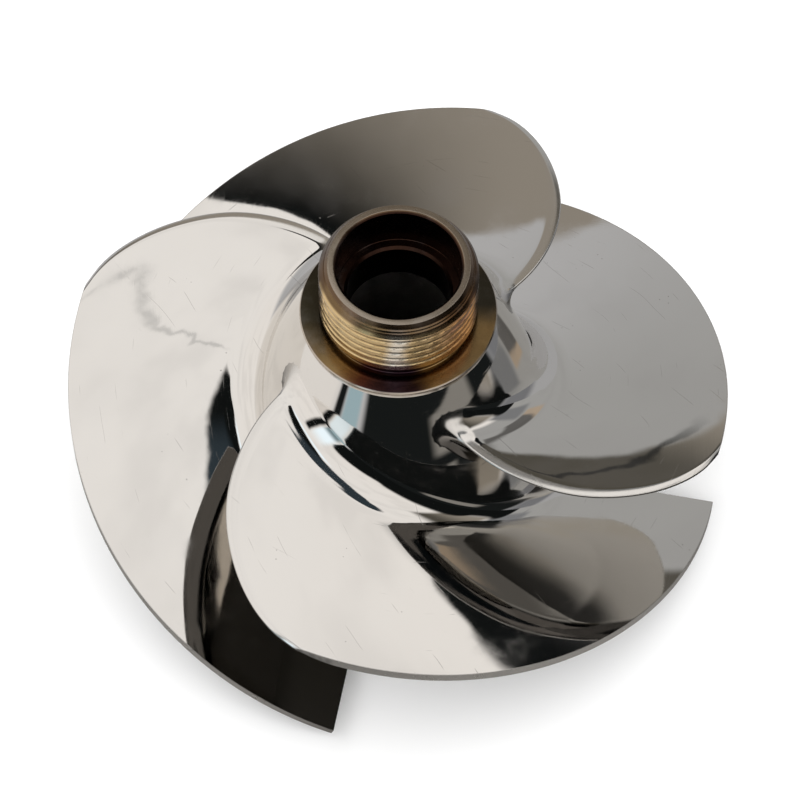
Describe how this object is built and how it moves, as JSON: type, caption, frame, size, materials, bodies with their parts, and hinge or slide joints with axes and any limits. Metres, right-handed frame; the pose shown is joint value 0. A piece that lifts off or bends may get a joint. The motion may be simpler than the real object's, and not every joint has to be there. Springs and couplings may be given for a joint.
{
  "type": "personal watercraft impeller",
  "caption": "Polished steel jet-pump impeller: swept, overlapping blades on a flared hollow hub with a threaded, stepped-bore nose.",
  "frame": {"origin": "on the spin axis, at the middle of the hub's rear face, where the part stands", "axes": "+Z along the spin axis towards the threaded nose; blade_1 opens towards -Y"},
  "size_m": [0.155, 0.155, 0.0847],
  "materials": {
    "polished_steel": "mirror-polished stainless steel with fine polishing lines",
    "heat_tinted_steel": "machined stainless steel, heat tinted from straw gold to brown and purple"
  },
  "bodies": {
    "root": {"hub": "polished_steel", "threaded_nose": "heat_tinted_steel", "blade_1": "polished_steel", "blade_2": "polished_steel", "blade_3": "polished_steel", "blade_4": "polished_steel"}
  },
  "joints": []
}
